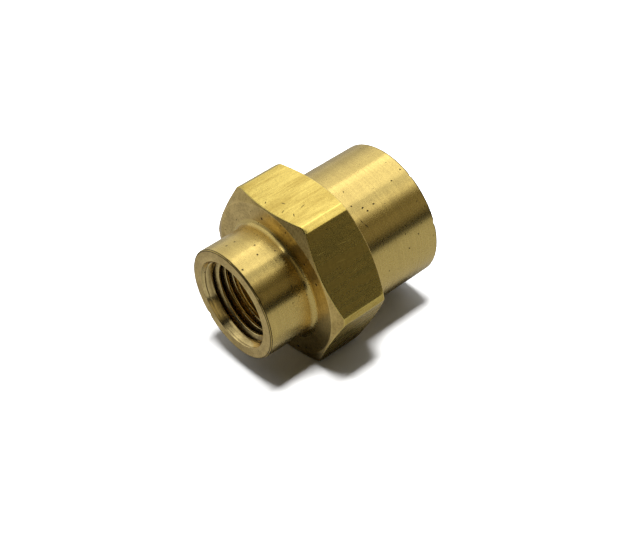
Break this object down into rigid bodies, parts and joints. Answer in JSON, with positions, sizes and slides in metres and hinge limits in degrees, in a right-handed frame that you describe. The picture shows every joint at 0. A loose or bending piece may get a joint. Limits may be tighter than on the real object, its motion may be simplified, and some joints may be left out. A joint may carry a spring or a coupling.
{
  "type": "reducing pipe coupling",
  "caption": "Straight brass reducing coupling with female taper pipe thread at both ends, a smaller and a larger round collar, and a hexagon between them for a wrench.",
  "frame": {"origin": "on the bore's axis, midway between the two end faces", "axes": "+X along the bore from the small end to the large end, +Z square to one of the wrench flats, +Y to complete a right-handed frame"},
  "size_m": [0.0228, 0.0214, 0.019],
  "materials": {
    "brass": "machined, with turned collars and drawn hexagon flats"
  },
  "bodies": {
    "root": {"coupling_body": "brass"}
  },
  "joints": []
}
